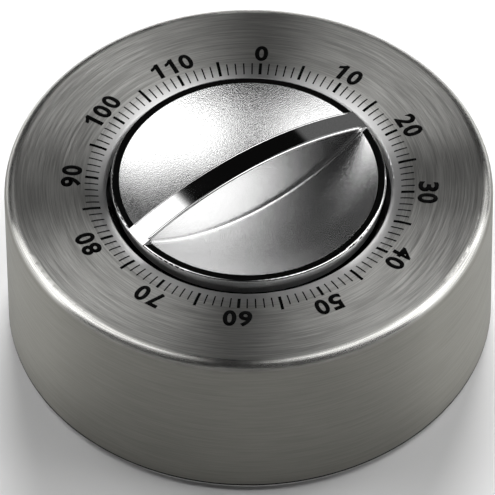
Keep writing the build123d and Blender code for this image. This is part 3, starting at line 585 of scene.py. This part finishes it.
def flat_one():
    """The figure 1, a stem with a flag, drawn from its foot."""
    shape = bmesh.new()
    stem = FIGURE_STROKE / 2
    outline = (
        (-stem, 0),
        (stem, 0),
        (stem, FIGURE_HEIGHT),
        (-0.5 * stem, FIGURE_HEIGHT),
        (-1.6 * stem, 0.87 * FIGURE_HEIGHT),
        (-3.1 * stem, 0.79 * FIGURE_HEIGHT),
        (-3.1 * stem, 0.62 * FIGURE_HEIGHT),
        (-2.0 * stem, 0.655 * FIGURE_HEIGHT),
        (-stem, 0.73 * FIGURE_HEIGHT),
    )
    shape.faces.new([shape.verts.new((x + 0.6 * stem, y, 0)) for x, y in outline])
    return finish_mesh(shape, "figure")


def flat_figure(sign):
    """A figure from the plain round letter, fitted to the dial's height and width."""
    text = bpy.data.curves.new("figure", "FONT")
    text.body = sign
    text.offset = FIGURE_WEIGHT
    text.resolution_u = FIGURE_STEPS
    holder = bpy.data.objects.new("figure", text)
    scene.collection.objects.link(holder)
    bpy.context.view_layer.update()
    flat = bpy.data.meshes.new_from_object(holder.evaluated_get(bpy.context.evaluated_depsgraph_get()))
    bpy.data.objects.remove(holder)
    across = [corner.co.x for corner in flat.vertices]
    upward = [corner.co.y for corner in flat.vertices]
    left, right = min(across), max(across)
    foot, head = min(upward), max(upward)
    fit = Matrix.Diagonal((FIGURE_WIDTH / (right - left), FIGURE_HEIGHT / (head - foot), 1, 1))
    flat.transform(fit @ Matrix.Translation((-(left + right) / 2, -foot, 0)))
    return flat


def draw_figures():
    """The tens, with their feet towards the knob."""
    signs = {sign: flat_figure(sign) for sign in "023456789"}
    signs["1"] = flat_one()
    shape = bmesh.new()
    for minute in range(0, MINUTES, 10):
        number = str(minute)
        for count, sign in enumerate(number):
            aside = (count - (len(number) - 1) / 2) * FIGURE_PITCH
            flat = signs[sign].copy()
            flat.transform(dial_place(minute, FIGURE_FOOT) @ Matrix.Translation((aside, 0, 0)))
            shape.from_mesh(flat)
            bpy.data.meshes.remove(flat)
    for flat in signs.values():
        bpy.data.meshes.remove(flat)
    bmesh.ops.remove_doubles(shape, verts=shape.verts[:], dist=WELD)
    print_layer(shape)
    return finish_mesh(shape, "dial_figures")


# The knob's blade


def blade_edges():
    """The rounded edges of the blade's polished top: two slim beads that follow its arch."""
    arch = (KNOB_RADIUS**2 + BLADE_RISE**2) / (2 * BLADE_RISE)
    middle = Vector((0, 0, BLADE_TOP - arch))
    half_turn = asin((RIM_INNER + BEAD_RUN_IN) / arch)
    first_end = Matrix.Translation(middle) @ Matrix.Rotation(-half_turn, 4, "Y")
    shape = bmesh.new()
    for side, radius in BEAD_RADIUS.items():
        end = bmesh.ops.create_circle(shape, cap_ends=True, segments=BEAD_CORNERS, radius=radius)["verts"]
        sink = BEAD_SINK * radius
        stand = Matrix.Translation((0, side * (BLADE_HALF - sink), arch - sink))
        place = first_end @ stand @ Matrix.Rotation(pi / 2, 4, "Y")
        bmesh.ops.transform(shape, matrix=place, verts=end)
        edges = {edge for corner in end for edge in corner.link_edges}
        faces = {face for corner in end for face in corner.link_faces}
        bmesh.ops.spin(
            shape,
            geom=[*end, *edges, *faces],
            cent=middle,
            axis=(0, 1, 0),
            angle=2 * half_turn,
            steps=BEAD_STEPS,
        )
    bmesh.ops.rotate(shape, verts=shape.verts[:], matrix=Matrix.Rotation(BLADE_ANGLE, 3, "Z"))
    bmesh.ops.remove_doubles(shape, verts=shape.verts[:], dist=WELD)
    bmesh.ops.recalc_face_normals(shape, faces=shape.faces[:])
    for face in shape.faces:
        face.smooth = len(face.verts) == 4
    return finish_mesh(shape, "blade_edges")


# The spring strips


def bending_spring(node, pivot):
    """A spring strip cut across its length into short lengths, as a piece of its own in place of the plain
    one.
    """
    shape = bmesh.new()
    shape.from_mesh(nodes[node].data)
    bmesh.ops.remove_doubles(shape, verts=shape.verts[:], dist=WELD)
    low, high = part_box(pivot)
    hub = ((low + high) / 2).to_2d()
    places = [corner.co.copy() for corner in shape.verts]
    tip = max(places, key=lambda place: (place.to_2d() - hub).length)
    foot = max(places, key=lambda place: (place.to_2d() - tip.to_2d()).length)
    foot.z = tip.z
    along = tip - foot
    for cut in range(1, SPRING_CUTS):
        place = foot + along * cut / SPRING_CUTS
        bmesh.ops.bisect_plane(shape, geom=whole(shape), dist=0.1 * WELD, plane_co=place, plane_no=along)
    leaf = link_piece(node + "_leaf", finish_mesh(shape, node + "_leaf"), finishes["spring_steel"])
    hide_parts(node)
    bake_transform(leaf)


# The base screws


def cross_outline(shape, height):
    """The edges of a cross with four equal arms, cut fine enough to join to a round edge."""
    arm, half = CROSS_ARM * SCREW_HEAD, CROSS_HALF * SCREW_HEAD
    quarter = (Vector((half, half)), Vector((half, arm)), Vector((-half, arm)))
    places = [Matrix.Rotation(turn * pi / 2, 2) @ place for turn in range(4) for place in quarter]
    corners = [shape.verts.new((place.x, place.y, height)) for place in places]
    edges = [shape.edges.new(pair) for pair in zip(corners, corners[1:] + corners[:1])]
    cuts = SCREW_CORNERS // len(edges) - 1
    more = added(bmesh.ops.subdivide_edges(shape, edges=edges, cuts=cuts))[1]
    return edges + [edge for edge in more if edge not in edges]


def grow(shape, edges, share=1.0, rise=0.0):
    """Extrudes a ring of edges, drawn in by a share and raised, and returns the new ring."""
    corners, ring = added(bmesh.ops.extrude_edge_only(shape, edges=edges))
    bmesh.ops.scale(shape, verts=corners, vec=(share, share, 1))
    bmesh.ops.translate(shape, verts=corners, vec=(0, 0, rise))
    return ring


def screw_heads():
    """The three base screws with a cross recess in each head, in place of the plain ones."""
    low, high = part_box("base_screws")
    length = high.z - low.z
    shape = bmesh.new()
    bmesh.ops.create_circle(shape, segments=SCREW_CORNERS, radius=SCREW_HEAD)
    rim = shape.edges[:]

    # The head hangs under its rim, and the cross is sunk in its crown
    side = grow(shape, rim, rise=-SIDE_SHARE * SCREW_DEPTH)
    crown = grow(shape, side, CROWN_SHARE, -(1 - SIDE_SHARE) * SCREW_DEPTH)
    cross = cross_outline(shape, -SCREW_DEPTH)
    bmesh.ops.bridge_loops(shape, edges=crown + cross)
    bmesh.ops.contextual_create(shape, geom=grow(shape, cross, CROSS_TAPER, CROSS_SINK * SCREW_DEPTH))

    # The shank stands on the rim
    neck = grow(shape, rim, SCREW_SHANK / SCREW_HEAD)
    bmesh.ops.contextual_create(shape, geom=grow(shape, neck, rise=length - SCREW_DEPTH))

    bmesh.ops.translate(shape, verts=shape.verts[:], vec=(SCREW_RING, 0, low.z + SCREW_DEPTH))
    bmesh.ops.rotate(shape, verts=shape.verts[:], matrix=Matrix.Rotation(SCREW_ANGLE, 3, "Z"))
    first = whole(shape)
    for count in range(1, SCREW_COUNT):
        corners = added(bmesh.ops.duplicate(shape, geom=first))[0]
        bmesh.ops.rotate(shape, verts=corners, matrix=Matrix.Rotation(count * 2 * pi / SCREW_COUNT, 3, "Z"))
    bmesh.ops.recalc_face_normals(shape, faces=shape.faces[:])
    mesh = finish_mesh(shape, "cross_screws")
    screws = show("cross_screws", mesh, "case", finishes["screw_steel"])
    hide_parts("base_screws")


show("blade_edges", blade_edges(), "knob", polished_chrome)
screw_heads()
bending_spring("hammer_spring", "hammer_arbor")
bending_spring("click_spring", "click_pin")
show("dial_ticks", draw_ticks(), "case", ink)
show("dial_figures", draw_figures(), "case", ink)


# Studio

TABLE_REACH = 10.0
LAMP_SIZE = 0.9

# How bright each part of the studio is, and what is left dark between them
STUDIO_LEVELS = {
    "left": 1.8,
    "right": 2.0,
    "corner": 1.1,
    "far": 0.5,
    "panel": 0.15,
    "wing": 0.13,
    "front": 0.075,
    "ground": 0.9,
}
STUDIO_DARK = 0.004


def floor_sheet():
    """A broad pale table."""
    shape = bmesh.new()
    bmesh.ops.create_grid(shape, x_segments=1, y_segments=1, size=TABLE_REACH)
    made, tree, shader = start_material("table_white", Roughness=0.9, Specular_IOR_Level=0.0)
    cloud = noise(tree, own_place(tree), 3.0, 2.0)
    feed(tree, shader, Base_Color=blend_colour(tree, cloud, *TABLE_WHITE))
    table = link_piece("table", finish_mesh(shape, "table"), made)


def studio_masks(tree):
    """Where each part of the studio lies, by its direction from the timer."""
    way = add(tree, "ShaderNodeTexCoord").outputs["Generated"]
    east, north, high = split(tree, way)

    # A tent from side to side, dimmer towards the ground, with a wedge-shaped slit overhead
    back = maths(tree, "SUBTRACT", north, ramp(tree, east, 0.45, 0.95, 0.0, 0.2))
    tent = overlap(
        tree,
        ramp(tree, back, 0.45, 0.41),
        ramp(tree, north, -0.22, -0.12),
        ramp(tree, high, 0.0, 0.12),
        ramp(tree, high, 0.05, 0.5, 0.4, 1.0),
    )
    wedge = maths(tree, "MULTIPLY", maths(tree, "SUBTRACT", north, 0.3), 0.18)
    left = ramp(tree, maths(tree, "ADD", east, wedge), -0.14, -0.32)
    right = ramp(tree, maths(tree, "SUBTRACT", east, wedge), 0.04, 0.24)

    # Two patches behind the tent, and a dim wall low at the back
    behind = overlap(tree, ramp(tree, north, 0.40, 0.46), ramp(tree, north, 0.78, 0.70))
    low = overlap(tree, ramp(tree, high, 0.56, 0.53), ramp(tree, north, 0.5, 0.6))
    return {
        "left": overlap(tree, tent, left),
        "right": overlap(tree, tent, right),
        "corner": overlap(tree, behind, ramp(tree, east, 0.38, 0.50), ramp(tree, high, 0.22, 0.36)),
        "far": overlap(tree, behind, ramp(tree, east, -0.30, -0.42), ramp(tree, high, 0.48, 0.58)),
        "panel": overlap(tree, low, ramp(tree, maths(tree, "ABSOLUTE", east), 0.16, 0.06)),
        "wing": overlap(tree, low, ramp(tree, east, -0.20, 0.0), ramp(tree, east, 0.45, 0.30)),
        "front": overlap(tree, ramp(tree, high, 0.75, 0.60), ramp(tree, north, -0.35, -0.55)),
        "ground": ramp(tree, high, 0.02, 0.0),
    }


def studio_world():
    """A white tent round the timer, which the steel and the chrome mirror."""
    world = bpy.data.worlds.new("studio")
    scene.world = world
    world.use_nodes = True
    tree = world.node_tree
    light = tree.nodes["Background"]
    total = STUDIO_DARK
    for name, mask in studio_masks(tree).items():
        total = maths(tree, "ADD", maths(tree, "MULTIPLY", mask, STUDIO_LEVELS[name]), total)
    light.inputs["Color"].default_value = grey(1.0)
    feed(tree, light, Strength=total)


def lamp(name, place, power):
    """A soft lamp aimed at the timer that lights the table but leaves no image of itself in the chrome."""
    data = bpy.data.lights.new(name, "AREA")
    data.shape = "DISK"
    data.size = LAMP_SIZE
    data.energy = power
    made = bpy.data.objects.new(name, data)
    made.location = place
    made.rotation_euler = (-Vector(place)).to_track_quat("-Z", "Y").to_euler()
    made.visible_glossy = False
    scene.collection.objects.link(made)


floor_sheet()
studio_world()
lamp("soft_back", (0.0, 1.6, 1.0), 44.0)
lamp("soft_left", (-1.35, 0.95, 1.0), 3.0)
lamp("soft_right", (1.35, 0.95, 1.0), 3.0)
